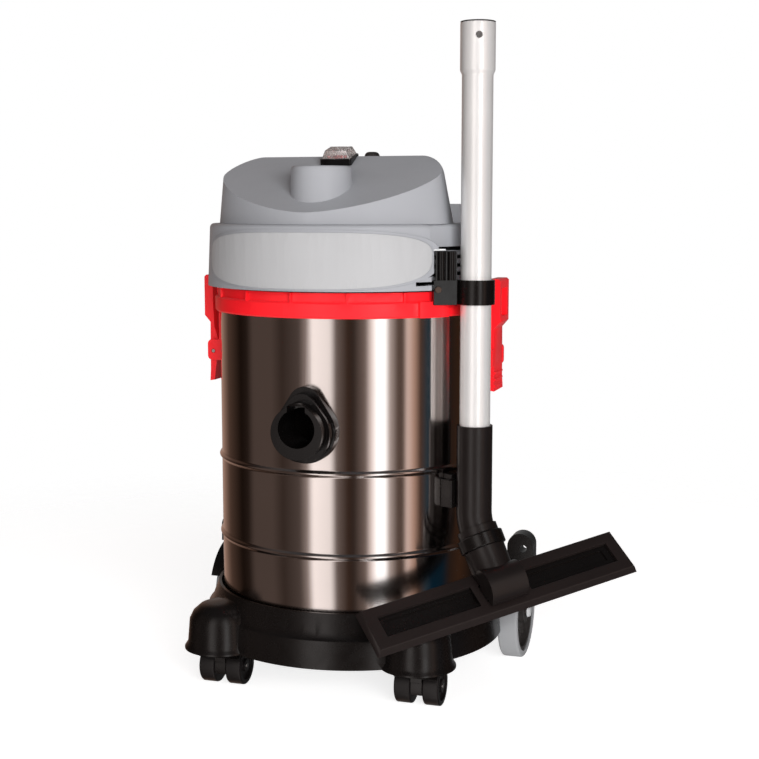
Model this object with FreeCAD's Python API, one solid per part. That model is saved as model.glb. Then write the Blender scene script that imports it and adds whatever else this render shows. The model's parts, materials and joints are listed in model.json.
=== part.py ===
import FreeCAD, Part
import math
import os
from FreeCAD import Vector as V

# Shop vacuum: steel drum on a wheeled dolly, lift-off motor head, parked wand and floor nozzle.
# Millimetres, +Z up, -Y is the front of the machine, the floor is z = 0.

# Offset of the drum axis from the middle of the footprint
origin_x = -73.7
origin_y = 24.0

# Drum
drum_r = 170.0
drum_wall = 1.2
drum_bottom = 104.0
drum_top = 486.0
bead_heights = (177.0, 277.0)
bead_h = 10.0
bead_out = 3.0

# Drum ring
ring_r = 176.0
ring_low = 466.0
ring_step = 485.0
ring_top = 496.0
rib_count = 16
rib_offset = 16.0

# Dolly
skirt_r = 193.0
skirt_low = 51.0
skirt_mid = 85.0
rim_top = 115.0
wall = 3.5
lug_r = 41.0
lug_top = 108.0
caster_pitch_r = 190.0
caster_azimuth = 42.0

# Casters
caster_wheel_r = 24.0
caster_wheel_w = 20.0
caster_trail = 14.0
stem_r = 5.0
fit = 0.05

# Rear wheels
wheel_r = 61.5
wheel_w = 26.0
wheel_x = 199.0
wheel_y = 88.0
tyre_deep = 8.5
axle_r = 5.0

# Suction inlet
inlet_z = 341.0
inlet_bore = 22.5
inlet_out = 210.0

# Head
head_low = 498.4
housing_r = 178.8
housing_back_r = 174.6
housing_cy = -14.0
housing_draft = 3.4
seam_z = 575.0
cover_top = 657.0
cover_round = 24.0
cover_front_z = 590.0
cover_slope = 0.5
shell = 3.0
recess_r = 172.0
recess_from = 47.5
recess_to = 80.0
motor_y = -30.0
boss_y = -119.0
boss_top = 643.0

# Switch
switch_y = -52.0
switch_z = 649.0
switch_tilt = 14.0

# Latches
latch_pin_x = 182.0
latch_pin_z = 409.0
latch_half = 25.0

# Wand
wand_x = 182.4
wand_y = -91.0
wand_r = 18.25
wand_top = 807.0
socket_r = 20.5
elbow_r = 21.35
elbow_top = 337.0
bend_z = 220.0
neck_azimuth = 60.0
neck_drop = 60.5
hinge_at = 88.8
neck_r = 25.0

# Floor nozzle
nozzle_len = 340.0
nozzle_wide = 58.0
nozzle_top = 6.0
nozzle_low = -9.0
nozzle_yaw = 40.4
nozzle_roll = 35.2

X = V(1, 0, 0)
Y = V(0, 1, 0)
Z = V(0, 0, 1)


def cyl(r, h, at=V(0, 0, 0), axis=Z):
    return Part.makeCylinder(r, h, at, axis)


def tube(ro, ri, h, at=V(0, 0, 0), axis=Z):
    back = at - axis * 1.0
    return cyl(ro, h, at, axis).cut(cyl(ri, h + 2.0, back, axis))


def cone(r1, r2, h, at, axis=Z):
    return Part.makeCone(r1, r2, h, at, axis)


def box(x0, x1, y0, y1, z0, z1):
    return Part.makeBox(x1 - x0, y1 - y0, z1 - z0, V(x0, y0, z0))


def polygon(points):
    return Part.Face(Part.makePolygon(list(points) + [points[0]]))


def revolve(rz, cx=0.0, cy=0.0):
    # Solid of revolution about a vertical axis from (radius, height) corners
    face = polygon([V(cx + r, cy, z) for r, z in rz])
    return face.revolve(V(cx, cy, 0), Z, 360)


def sector(r, a0, a1, z0, z1):
    # Pie slice between two azimuths counted from the front towards +X
    pts = [V(0, 0, z0)]
    steps = 6
    for i in range(steps + 1):
        a = math.radians(a0 + (a1 - a0) * i / steps)
        pts.append(V(r * math.sin(a), -r * math.cos(a), z0))
    return polygon(pts).extrude(V(0, 0, z1 - z0))


def around(r, azimuth, z=0.0):
    a = math.radians(azimuth)
    return V(r * math.sin(a), -r * math.cos(a), z)


def joined(shapes):
    whole = shapes[0]
    if len(shapes) > 1:
        whole = whole.fuse(list(shapes[1:]))
    return whole.removeSplitter()


def mirror(shape):
    return shape.mirror(V(0, 0, 0), X)


def rounded(shape, r, pick):
    # Rounds the edges chosen by pick and keeps the plain shape when that fails
    edges = [e for e in shape.Edges if pick(e)]
    if not edges:
        return shape
    try:
        out = shape.makeFillet(r, edges)
        if out.isValid() and out.Volume > 0:
            return out
    except Exception:
        pass
    return shape


def vertical(e):
    a, b = e.Vertexes[0].Point, e.Vertexes[-1].Point
    return len(e.Vertexes) == 2 and abs(a.x - b.x) < 1e-6 and abs(a.y - b.y) < 1e-6


def slab(w, d, h, r, at):
    # Block centred in plan on a point with its upright edges rounded
    b = box(at.x - w / 2, at.x + w / 2, at.y - d / 2, at.y + d / 2, at.z, at.z + h)
    return rounded(b, r, vertical)


def pear(half, low, narrow, high, y0, y1):
    # Rounded triangle with the narrow end up, extruded along the machine's depth
    r1 = half
    r2 = narrow
    z1 = low + r1
    z2 = high - r2
    s = (r1 - r2) / (z2 - z1)
    c = math.sqrt(1 - s * s)
    a = V(r1 * c, y0, z1 + r1 * s)
    b = V(r2 * c, y0, z2 + r2 * s)
    top = V(0, y0, high)
    bottom = V(0, y0, low)
    bl = V(-b.x, y0, b.z)
    al = V(-a.x, y0, a.z)
    edges = [
        Part.makeLine(a, b),
        Part.Arc(b, top, bl).toShape(),
        Part.makeLine(bl, al),
        Part.Arc(al, bottom, a).toShape(),
    ]
    return Part.Face(Part.Wire(edges)).extrude(V(0, y1 - y0, 0))


nodes = {}

# ---------------------------------------------------------------- drum
def wall_line(r, z0, z1, grow):
    # Upright wall with outward beads, as edges from the bottom to the top
    edges = []
    at = V(r, 0, z0)
    for b in bead_heights:
        nxt = V(r, 0, b)
        edges.append(Part.makeLine(at, nxt))
        peak = V(r + grow, 0, b + bead_h / 2)
        at = V(r, 0, b + bead_h)
        edges.append(Part.Arc(nxt, peak, at).toShape())
    edges.append(Part.makeLine(at, V(r, 0, z1)))
    return edges


def drum_solid(r, low, high, corner):
    side = wall_line(r, low + corner, high, bead_out)
    mid = V(r - corner * 0.2929, 0, low + corner * 0.2929)
    base = V(r - corner, 0, low)
    edges = [
        Part.makeLine(V(0, 0, high), V(0, 0, low)),
        Part.makeLine(V(0, 0, low), base),
        Part.Arc(base, mid, V(r, 0, low + corner)).toShape(),
    ]
    edges += side
    edges.append(Part.makeLine(V(r, 0, high), V(0, 0, high)))
    return Part.Face(Part.Wire(edges)).revolve(V(0, 0, 0), Z, 360)


drum = drum_solid(drum_r, drum_bottom, drum_top, 8.0)
drum_in = drum_solid(drum_r - drum_wall, drum_bottom + drum_wall, drum_top + 5, 7.0)
port_hole = cyl(28.0, 60.0, V(0, -190, inlet_z), Y)
drum = drum.cut(drum_in).cut(port_hole)
nodes["drum"] = drum

# ---------------------------------------------------------------- red ring on the drum's edge
ring_in = drum_r + 0.2
ring_profile = [
    (ring_in, ring_low),
    (ring_r - 1.5, ring_low),
    (ring_r, ring_low + 2),
    (ring_r, ring_step - 2),
    (ring_r - 1.5, ring_step),
    (recess_r, ring_step),
    (recess_r, ring_top),
    (158.0, ring_top),
    (158.0, drum_top),
    (ring_in, drum_top),
]
ring = revolve(ring_profile)
ribs = []
for i in range(rib_count):
    a = rib_offset + 360.0 * i / rib_count
    rib = box(recess_r - 1, ring_r - 0.8, -1.2, 1.2, ring_step - 1, ring_top)
    rib.rotate(V(0, 0, 0), Z, a)
    ribs.append(rib)
lug = sector(190, 44, 57, ring_low, ring_step).common(tube(181.0, ring_r - 2, 60, V(0, 0, 450)))
ring = joined([ring, lug] + ribs)
nodes["drum_ring"] = ring

# ---------------------------------------------------------------- dolly
out_profile = [
    (0, drum_bottom),
    (170.3, drum_bottom),
    (172.0, rim_top - 2),
    (173.0, rim_top),
    (176.5, rim_top),
    (186.0, skirt_mid + 3),
    (190.0, skirt_mid),
    (skirt_r, skirt_low),
    (0, skirt_low),
]
in_profile = [
    (0, drum_bottom - 4),
    (178.0, drum_bottom - 4),
    (182.5, skirt_mid),
    (186.2, skirt_mid - 3),
    (skirt_r - wall, skirt_low - 5),
    (0, skirt_low - 5),
]
lug_at = around(caster_pitch_r, caster_azimuth)
outer = revolve(out_profile)
inner = revolve(in_profile)
bosses = []
for side in (1, -1):
    p = V(side * lug_at.x, lug_at.y, skirt_low)
    lug_profile = [
        (0, skirt_low),
        (lug_r + 5, skirt_low),
        (lug_r + 5, skirt_low + 2),
        (lug_r + 1, skirt_low + 8),
        (lug_r - 1.5, skirt_mid + 3),
        (lug_r - 6, skirt_mid + 12),
        (lug_r - 15, lug_top - 3),
        (lug_r - 23, lug_top),
        (0, lug_top),
    ]
    lug_shape = revolve(lug_profile, p.x, p.y).cut(cyl(drum_r + 0.3, 300, V(0, 0, 60)))
    outer = outer.fuse(lug_shape)
    inner = inner.fuse(cyl(lug_r - wall, skirt_mid - 4 - skirt_low + 5, p - Z * 5))
    inner = inner.cut(cyl(12.0, 60, V(p.x, p.y, 30)))
    arch = cyl(wheel_r + 5, 40, V(side * 184.0, wheel_y, wheel_r), X * side)
    arch_in = cyl(wheel_r + 5 + wall, 40, V(side * (184.0 - wall), wheel_y, wheel_r), X * side)
    outer = outer.cut(arch)
    inner = inner.cut(arch_in)
    a, b = sorted((side * 150, side * 168))
    bosses.append(box(a, b, wheel_y - 13, wheel_y + 13, wheel_r - 15, 101))
    guard_r = wheel_r + 5
    a, b = sorted((side * 162, side * 216))
    guard = tube(guard_r + 4, guard_r, b - a, V(a, wheel_y, wheel_r), X)
    a, b = sorted((side * 162, side * 172))
    web = cyl(guard_r + 4, b - a, V(a, wheel_y, wheel_r), X)
    hump = box(min(side * 188, side * 222), max(side * 188, side * 222), wheel_y - 13, wheel_y + 13, 126, 151)
    hump = hump.fuse(cyl(17.0, 26.0, V(side * 205, wheel_y - 13, 151), Y))
    hump = hump.cut(cyl(5.0, 30.0, V(side * 209, wheel_y - 15, 148), Y))
    hump = hump.cut(cyl(guard_r + 2, 80, V(side * 205 - 40, wheel_y, wheel_r), X))
    guard = guard.fuse([web, hump]).cut(box(-300, 300, -300, 300, -10, skirt_mid + 6))
    guard = guard.cut(cyl(drum_r + 3, 300, V(0, 0, 0)))
    bosses.append(guard)
dolly = outer.cut(inner).fuse(bosses)
for side in (1, -1):
    dolly = dolly.cut(cyl(8.0, 38.0, V(side * lug_at.x, lug_at.y, skirt_low - 1)))
dolly = dolly.cut(cyl(axle_r, 430, V(-215, wheel_y, wheel_r), X))
nodes["dolly"] = dolly.removeSplitter()

sockets = []
for side in (1, -1):
    p = V(side * lug_at.x, lug_at.y, skirt_low)
    sockets.append(tube(8.0, stem_r + fit, 37.0, p))
nodes["caster_sockets"] = Part.makeCompound(sockets)
axle_half = wheel_x + wheel_w / 2 + 2
nodes["rear_axle"] = cyl(axle_r, 2 * axle_half, V(-axle_half, wheel_y, wheel_r), X)
caps = []
for side in (1, -1):
    cap = cone(9.0, 7.0, 4.0, V(side * axle_half, wheel_y, wheel_r), X * side)
    caps.append(cap)
nodes["axle_caps"] = Part.makeCompound(caps)

# ---------------------------------------------------------------- suction inlet
around_drum = cyl(drum_r + 0.3, 200, V(0, 0, inlet_z - 100))
inside_drum = cyl(drum_r - drum_wall - 0.3, 200, V(0, 0, inlet_z - 100))
flange = pear(38.0, 296.0, 20.0, 387.0, -181.0, -150.0)
step = pear(35.0, 299.0, 18.5, 380.0, -193.0, -150.0)
rim = pear(31.5, 304.5, 17.0, 371.5, -inlet_out, -150.0)
port = flange.fuse([step, rim]).cut(around_drum)
spigot = cyl(27.6, 36.0, V(0, -190.0, inlet_z), Y)
port = port.fuse(spigot)
port = port.cut(cyl(inlet_bore, 80, V(0, -inlet_out - 5, inlet_z), Y))
port = port.cut(box(-11, 11, -inlet_out - 5, -188, inlet_z, inlet_z + 27))
nodes["inlet_port"] = port.removeSplitter()

hood_out = cyl(34.0, 46.0, V(0, -172.0, inlet_z), Y)
hood_in = cyl(31.0, 43.0, V(0, -172.0, inlet_z), Y)
chute = box(-34, 34, -172, -126, inlet_z - 40, inlet_z)
chute_in = box(-31, 31, -172, -129, inlet_z - 45, inlet_z)
deflector = hood_out.fuse(chute).cut(hood_in).cut(chute_in)
deflector = deflector.common(inside_drum)
nodes["inlet_deflector"] = deflector.removeSplitter()

# ---------------------------------------------------------------- wand saddle and wand bracket
wand_az = math.degrees(math.atan2(wand_x, -wand_y))
saddle = box(drum_r - 4, 186.0, -21, 21, 236, 270)
saddle = saddle.fuse(box(drum_r - 4, 181.0, -16, 16, 270, 276))
saddle.rotate(V(0, 0, 0), Z, wand_az - 90)
saddle = saddle.cut(cyl(drum_r + 0.2, 200, V(0, 0, 200)))
saddle = saddle.cut(cyl(elbow_r + 0.6, 200, V(wand_x, wand_y, 200)))
nodes["tube_saddle"] = saddle

arm_angle = 208.0
bracket = box(24.2, 52.0, -6, 6, 481, 510)
bracket = bracket.fuse(box(24.2, 50.0, -6, 6, 510, 544))
for x in (31.0, 43.0):
    bracket = bracket.fuse(cyl(5.0, 34.0, V(x, 5.0, 510)))
bracket = bracket.cut(box(20.0, 34.6, -2.6, 2.6, 485, 560))
bracket.rotate(V(0, 0, 0), Z, arm_angle)
bracket.translate(V(wand_x, wand_y, 0))
bracket = bracket.cut(cyl(181.2, 29.6, V(0, 0, 458.5)))
bracket = bracket.cut(cyl(ring_r + 0.3, 100, V(0, 0, 480)))


def on_arm(u, v, z):
    a = math.radians(arm_angle)
    x = wand_x + u * math.cos(a) - v * math.sin(a)
    y = wand_y + u * math.sin(a) + v * math.cos(a)
    return V(x, y, z)


arm_front = (on_arm(0, 1, 0) - on_arm(0, 0, 0))
bracket = bracket.cut(cyl(1.9, 20, on_arm(47, -10, 499), arm_front))
nodes["wand_bracket"] = bracket.removeSplitter()
screw = cyl(1.9, 11, on_arm(47, -5, 499), arm_front)
screw = screw.fuse(cyl(4.0, 2.2, on_arm(47, 6, 499), arm_front))
nodes["bracket_screw"] = screw

# ---------------------------------------------------------------- latch brackets, pins, latches
def latch_bracket():
    ear_a = box(171.0, 190.0, latch_half + 1, latch_half + 8, 397, 424)
    ear_b = box(171.0, 190.0, -latch_half - 8, -latch_half - 1, 397, 424)
    ear_a = rounded(ear_a, 6.0, lambda e: e.BoundBox.XMin > 189.9 and e.BoundBox.YLength > 6)
    ear_b = rounded(ear_b, 6.0, lambda e: e.BoundBox.XMin > 189.9 and e.BoundBox.YLength > 6)
    plate = box(160.0, 174.0, -latch_half - 8, latch_half + 8, 400, 465.5)
    whole = plate.fuse([ear_a, ear_b]).cut(cyl(drum_r + 0.2, 200, V(0, 0, 350)))
    return whole.cut(cyl(2.5, 80, V(latch_pin_x, -40, latch_pin_z), Y)).removeSplitter()


def latch():
    pts = [
        (184.2, 370.0),
        (190.5, 369.0),
        (189.6, 384.0),
        (189.2, 446.0),
        (197.0, 455.0),
        (197.0, 505.0),
        (194.5, 507.5),
        (182.8, 507.5),
        (182.4, 499.0),
        (185.2, 494.0),
        (185.2, 470.0),
        (183.6, 440.0),
        (179.0, 425.0),
        (177.8, 409.0),
        (180.6, 398.0),
    ]
    face = polygon([V(x, -latch_half, z) for x, z in pts])
    body = face.extrude(V(0, 2 * latch_half, 0))
    grips = []
    for z in (375.0, 383.0, 391.0):
        grips.append(cyl(1.6, 2 * latch_half - 8, V(189.6, -latch_half + 4, z), Y))
    body = body.fuse(grips)
    window = box(186.5, 200.0, -15, 15, 462, 496)
    body = body.cut(window)
    return body.cut(cyl(2.5 + fit, 80, V(latch_pin_x, -40, latch_pin_z), Y)).removeSplitter()


pin = cyl(2.5, 2 * latch_half + 18, V(latch_pin_x, -latch_half - 9, latch_pin_z), Y)
nodes["latch_brackets"] = Part.makeCompound([latch_bracket(), mirror(latch_bracket())])
nodes["latch_pins"] = Part.makeCompound([pin, mirror(pin)])
nodes["latch_right"] = latch()
nodes["latch_left"] = mirror(latch())

# ---------------------------------------------------------------- head: lower housing
def housing_wire(grow, z):
    # Front arc and slightly smaller rear arc joined by short straight flanks
    lean = housing_draft * (z - head_low) / (seam_z - head_low)
    r1 = housing_r + grow - lean
    r2 = housing_back_r + grow - lean
    s = (r1 - r2) / -housing_cy
    c = math.sqrt(1 - s * s)
    a = V(r1 * c, housing_cy + r1 * s, z)
    b = V(r2 * c, r2 * s, z)
    bl = V(-b.x, b.y, z)
    al = V(-a.x, a.y, z)
    edges = [
        Part.makeLine(a, b),
        Part.Arc(b, V(0, r2, z), bl).toShape(),
        Part.makeLine(bl, al),
        Part.Arc(al, V(0, housing_cy - r1, z), a).toShape(),
    ]
    return Part.Wire(edges)


def housing_wall(grow, low, high):
    return Part.makeLoft([housing_wire(grow, low), housing_wire(grow, high)], True, True)


def housing_solid(inset, low, high):
    body = housing_wall(-inset, low, high)
    cowl = box(-128 + inset, 128 - inset, 40, 160 - inset, low, high + 24)
    cowl = rounded(cowl, 34.0 - inset, vertical)
    body = body.fuse(cowl)
    cut = sector(230, recess_from - inset / 3, recess_to + inset / 3, low - 5, high + 30)
    cut = cut.cut(cyl(recess_r - inset, 200, V(0, 0, low - 10)))
    body = body.cut(cut)
    return body


outer = housing_solid(0.0, head_low, seam_z)
outer = rounded(outer, 7.0, lambda e: e.BoundBox.ZMin > seam_z - 0.01 and e.BoundBox.ZMax < seam_z + 0.01
                and e.Length > 150)
inner = housing_solid(shell, head_low + shell, seam_z - shell)
lower = outer.cut(inner)
lower = lower.cut(cyl(96.0, 20, V(0, motor_y, head_low - 5)))
for z in (504.0, 514.0, 524.0, 534.0, 544.0):
    slot = sector(200, 41, 76, z, z + 4.5).cut(cyl(160, 30, V(0, 0, z - 10)))
    lower = lower.cut(slot)
for i in range(6):
    z = 522.0 + 11 * i
    lower = lower.cut(box(-80, 80, 150, 180, z, z + 5))
for i in range(4):
    lower = lower.cut(cyl(2.4, 20, V(0, motor_y, 490) + around(106, 45 + 90 * i)))


def plan_curve(inset, z):
    # Closed smooth plan of the upper cover: pointed nose, widest near the front, narrower tail
    t = (z - 570.0) / 90.0
    mid = -84.0 - 4.0 * t
    half = 146.0 - 10.5 * t - inset
    nose = 97.0 - 10.5 * t - inset
    tail = 190.0 - 5.0 * t - inset
    tail_n = 2.0 - 0.5 * t
    pts = []
    steps = 40
    for i in range(steps):
        a = 2 * math.pi * i / steps
        front = math.cos(a) > 0
        n = 1.6 if front else tail_n
        x = half * math.copysign(abs(math.sin(a)) ** (2 / n), math.sin(a))
        y = mid - (nose if front else tail) * math.copysign(abs(math.cos(a)) ** (2 / n), math.cos(a))
        pts.append(V(x, y, z))
    curve = Part.BSplineCurve()
    curve.interpolate(pts, PeriodicFlag=True)
    return Part.Wire(curve.toShape())


def half_space(y0, z0, slope, reach=400.0):
    # Everything above a plane that rises towards the back
    z1 = z0 - slope * 300
    z2 = z0 + slope * 300
    corners = ((y0 - 300, z1), (y0 + 300, z2), (y0 + 300, z2 + 900), (y0 - 300, z2 + 900))
    pts = [V(-reach, y, z) for y, z in corners]
    return polygon(pts).extrude(V(2 * reach, 0, 0))


opening = Part.Face(plan_curve(6.0, seam_z - 10)).extrude(V(0, 0, 50))
lower = lower.cut(opening)
seat = Part.makeLoft([plan_curve(-0.5, seam_z), plan_curve(-0.5, 660.0)], True, True)
lower = lower.cut(seat)
nodes["lower_housing"] = lower

# ---------------------------------------------------------------- head: upper cover
def cover_solid(inset):
    z0 = seam_z - (5 if inset else 0)
    top = cover_top - inset
    body = Part.makeLoft([plan_curve(inset, z0), plan_curve(inset, 665.0)], True, True)
    body = body.cut(box(-300, 300, -300, 300, top, 900))
    body = rounded(body, cover_round - inset, lambda e: e.BoundBox.ZMin > top - 0.05)
    rise = inset * math.hypot(1, cover_slope)
    body = body.cut(half_space(-177.0, cover_front_z - rise, cover_slope))
    boss = cone(39.0 - inset, 35.5 - inset, boss_top - inset - 580, V(0, boss_y, 580))
    link = box(-17 + inset, 17 - inset, boss_y, -60, 600, boss_top - inset)
    return body.fuse([boss, link])


cover = cover_solid(0.0)
cover = cover.cut(cover_solid(shell))


def tilted(shape):
    shape.rotate(V(0, 0, 0), X, switch_tilt)
    shape.translate(V(0, switch_y, switch_z))
    return shape


cover = cover.cut(tilted(box(-20.3, 20.3, -17.3, 17.3, -3, 30)))
cover = cover.cut(tilted(box(-15.3, 15.3, -12.3, 12.3, -30, 10)))
cover = cover.cut(cyl(8.2, 40, V(0, 78, 630)))
nodes["upper_cover"] = cover.removeSplitter()

# ---------------------------------------------------------------- head: front panel
def panel_shape(grow, inner, outer_at):
    # Rounded shield outline in the front view, wrapped on the housing wall
    edges = []
    steps = 12
    for quarter in range(4):
        pts = []
        for i in range(steps + 1):
            a = math.pi / 2 * (quarter + i / steps)
            c = round(math.cos(a), 9)
            s = round(math.sin(a), 9)
            wide = (139.0 + grow) * math.copysign(abs(c) ** (2 / 3.4), c)
            reach = 28.0 + 0.5 * grow if quarter < 2 else 36.5 + 0.3 * grow
            pts.append(V(wide, -240, 538.0 + reach * math.copysign(abs(s) ** (2 / 3.4), s)))
        curve = Part.BSplineCurve()
        curve.interpolate(pts)
        edges.append(curve.toShape())
    block = Part.Face(Part.Wire(edges)).extrude(V(0, 190, 0))
    at = V(0, housing_cy, head_low)
    top = housing_r - housing_draft
    wall_out = cone(housing_r + outer_at, top + outer_at, seam_z - head_low, at)
    wall_in = cone(housing_r + inner, top + inner, seam_z - head_low, at)
    return block.common(wall_out.cut(wall_in))


panel = panel_shape(6.0, 0.2, 1.6).fuse(panel_shape(0.0, 1.0, 3.4))
clearance = box(15.0, 53.0, -7, 11, 400, 546)
clearance.rotate(V(0, 0, 0), Z, arm_angle)
clearance.translate(V(wand_x, wand_y, 0))
nodes["front_panel"] = panel.cut(clearance).removeSplitter()

# ---------------------------------------------------------------- head: seal, deck, motor
nodes["head_seal"] = tube(168.0, 160.0, head_low - ring_top - 0.3, V(0, 0, ring_top + 0.3))
deck = tube(116.0, 20.0, 4.0, V(0, motor_y, head_low + shell))
for i in range(4):
    deck = deck.cut(cyl(2.3, 20, V(0, motor_y, 495) + around(106, 45 + 90 * i)))
nodes["motor_deck"] = deck
deck_z = head_low + shell + 4.0
shroud = cyl(76.0, 26.0, V(0, motor_y, deck_z)).cut(cyl(72.0, 20.0, V(0, motor_y, deck_z + 3)))
shroud = shroud.cut(cyl(20.0, 10.0, V(0, motor_y, deck_z - 3)))
shroud = shroud.cut(cyl(9.0, 10.0, V(0, motor_y, deck_z + 20)))
for i in range(8):
    slot = box(66, 80, -12, 12, deck_z + 7, deck_z + 19)
    slot.rotate(V(0, 0, 0), Z, 45 * i)
    slot.translate(V(0, motor_y, 0))
    shroud = shroud.cut(slot)
nodes["fan_shroud"] = shroud
case_z = deck_z + 26.0
case = tube(46.0, 43.0, 66.0, V(0, motor_y, case_z))
floor_plate = tube(46.0, 13.0, 8.0, V(0, motor_y, case_z))
roof_plate = tube(46.0, 13.0, 8.0, V(0, motor_y, case_z + 58))
case = case.fuse([floor_plate, roof_plate])
for i in range(6):
    slot = box(40, 50, -8, 8, case_z + 46, case_z + 56)
    slot.rotate(V(0, 0, 0), Z, 60 * i)
    slot.translate(V(0, motor_y, 0))
    case = case.cut(slot)
nodes["motor_case"] = case.removeSplitter()
nodes["motor_stator"] = tube(43.0, 26.0, 30.0, V(0, motor_y, case_z + 12))
bearings = []
for z in (case_z, case_z + 58):
    bearings.append(tube(13.0, 5.0 + fit, 8.0, V(0, motor_y, z)))
nodes["motor_bearings"] = Part.makeCompound(bearings)

shaft = cyl(5.0, 98.0, V(0, motor_y, deck_z + 11))
nodes["motor_shaft"] = shaft
armature = tube(25.0, 5.0, 30.0, V(0, motor_y, case_z + 12))
commutator = tube(13.0, 5.0, 9.0, V(0, motor_y, case_z + 45))
nodes["armature"] = Part.makeCompound([armature, commutator])
wheel = tube(64.0, 5.0, 1.6, V(0, motor_y, deck_z + 17))
wheel = wheel.fuse(tube(11.0, 5.0, 12.0, V(0, motor_y, deck_z + 6)))
wheel = wheel.fuse(tube(64.0, 20.0, 1.6, V(0, motor_y, deck_z + 5.5)))
for i in range(9):
    blade = box(18.0, 63.0, -0.8, 0.8, deck_z + 6, deck_z + 18)
    blade.rotate(V(18, 0, 0), Z, 25)
    blade = blade.common(cyl(63.5, 40, V(0, 0, deck_z)))
    blade.rotate(V(0, 0, 0), Z, 40 * i)
    blade.translate(V(0, motor_y, 0))
    wheel = wheel.fuse(blade)
nodes["impeller"] = wheel.removeSplitter()
fan_z = case_z + 68.0
fan = tube(10.0, 5.0, 9.0, V(0, motor_y, fan_z))
for i in range(8):
    blade = box(8.0, 36.0, -0.8, 0.8, 0, 8.5)
    blade.rotate(V(0, 0, 4), X, 28)
    blade.rotate(V(0, 0, 0), Z, 45 * i)
    blade.translate(V(0, motor_y, fan_z + 0.2))
    fan = fan.fuse(blade)
nodes["cooling_fan"] = fan.removeSplitter()

# ---------------------------------------------------------------- head: filter and float
frame = tube(157.0, 118.0, 5.0, V(0, 0, head_low - 5.0))
rail = tube(126.0, 122.0, 12.0, V(0, 0, head_low - 16.0))
nodes["filter_frame"] = frame.fuse(rail).removeSplitter()
cloth = cone(108.0, 121.8, 92.0, V(0, 0, 396)).cut(cone(106.0, 119.8, 92.0, V(0, 0, 398)))
nodes["filter_cloth"] = cloth
cage = tube(33.0, 30.0, 64.0, V(0, motor_y, head_low + shell - 64))
cage = cage.fuse(cyl(33.0, 3.0, V(0, motor_y, head_low + shell - 66)))
for i in range(6):
    slot = box(25, 40, -7, 7, head_low - 56, head_low - 14)
    slot.rotate(V(0, 0, 0), Z, 60 * i)
    slot.translate(V(0, motor_y, 0))
    cage = cage.cut(slot)
cage = cage.cut(cyl(20.0, 10, V(0, motor_y, head_low - 70)))
nodes["float_cage"] = cage.removeSplitter()
float_z = head_low + shell - 63 + 24.0
nodes["float_ball"] = Part.makeSphere(23.5, V(0, motor_y, float_z))
screws = []
for i in range(4):
    at = V(0, motor_y, 0) + around(106, 45 + 90 * i)
    shank = cyl(2.2, 9.0, V(at.x, at.y, head_low - 1 + 2.5))
    head = cyl(4.0, 2.5, V(at.x, at.y, head_low + shell + 4.0))
    screws.append(shank.fuse(head))
nodes["deck_screws"] = Part.makeCompound(screws)

# ---------------------------------------------------------------- head: switch and gland
frame = slab(40.0, 34.0, 8.0, 3.0, V(0, 0, 0)).cut(box(-13.0, 13.0, -10.0, 10.0, -5, 20))
well = box(-15, 15, -12, 12, -22, 0).cut(box(-13, 13, -10, 10, -20, 5))
rod = cyl(1.5, 27.0, V(-13.5, 0, 3), X)
nodes["switch_frame"] = tilted(frame.fuse([well, rod]).removeSplitter())


def frustum(wide, deep, z0, in_x, in_y, z1):
    # Four-sided tapered block, its top drawn in by in_x and in_y
    wires = []
    for w, d, z in ((wide, deep, z0), (wide - in_x, deep - in_y, z1)):
        pts = [V(-w, -d, z), V(w, -d, z), V(w, d, z), V(-w, d, z), V(-w, -d, z)]
        wires.append(Part.makePolygon(pts))
    return Part.makeLoft(wires, True, True)


cap_out = frustum(18.0, 15.0, 8.0, 4.0, 4.0, 18.0)
cap_in = frustum(16.6, 13.6, 7.9, 3.6, 3.6, 16.8)
nodes["splash_cap"] = tilted(cap_out.cut(cap_in))
rocker_yz = [(-8.8, 10.8), (0, 9.0), (8.8, 8.6), (7.8, 1.5), (0, -5.0), (-7.8, 1.5)]
rocker_pts = [V(-12.4, y, z) for y, z in rocker_yz]
rocker = polygon(rocker_pts).extrude(V(24.8, 0, 0)).cut(cyl(1.5 + fit, 40, V(-20, 0, 3), X))
nodes["rocker"] = tilted(rocker)
gland = tube(8.0, 4.0, 22.0, V(0, 78, 640)).fuse(tube(12.0, 4.0, 3.0, V(0, 78, cover_top)))
dome = rounded(cyl(10.0, 10.0, V(0, 78, cover_top)), 6.0, lambda e: e.BoundBox.ZMin > cover_top + 9)
gland = gland.fuse(dome.cut(cyl(4.0, 40, V(0, 78, 640))))
nodes["cable_gland"] = gland.removeSplitter()

# ---------------------------------------------------------------- wand
wand_at = V(wand_x, wand_y, 0)
wand_out = cyl(wand_r, 428.0, V(wand_x, wand_y, 318))
wand_out = wand_out.fuse(cone(wand_r, socket_r, 7.0, V(wand_x, wand_y, 745.5)))
wand_out = wand_out.fuse(cyl(socket_r, wand_top - 752.5, V(wand_x, wand_y, 752.5)))
wand_in = cyl(wand_r - 1.5, 440.0, V(wand_x, wand_y, 310))
wand_in = wand_in.fuse(cone(wand_r - 1.5, wand_r + 0.2, 4.0, V(wand_x, wand_y, 748)))
wand_in = wand_in.fuse(cyl(wand_r + 0.2, 60, V(wand_x, wand_y, 752)))
wand = wand_out.cut(wand_in)
wand = wand.cut(cyl(4.0, 40, V(wand_x, wand_y, 790), V(0.3007, -0.9537, 0)))
nodes["wand_tube"] = wand.removeSplitter()
nodes["wand_collar"] = tube(22.5, wand_r, 29.0, V(wand_x, wand_y, 481))
tongue = box(20.0, 34.0, -2.1, 2.1, 485.4, 510)
tongue.rotate(V(0, 0, 0), Z, arm_angle)
tongue.translate(wand_at)
tongue = tongue.cut(cyl(22.4, 100, V(wand_x, wand_y, 450)))
nodes["wand_collar"] = nodes["wand_collar"].fuse(tongue).removeSplitter()

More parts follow.
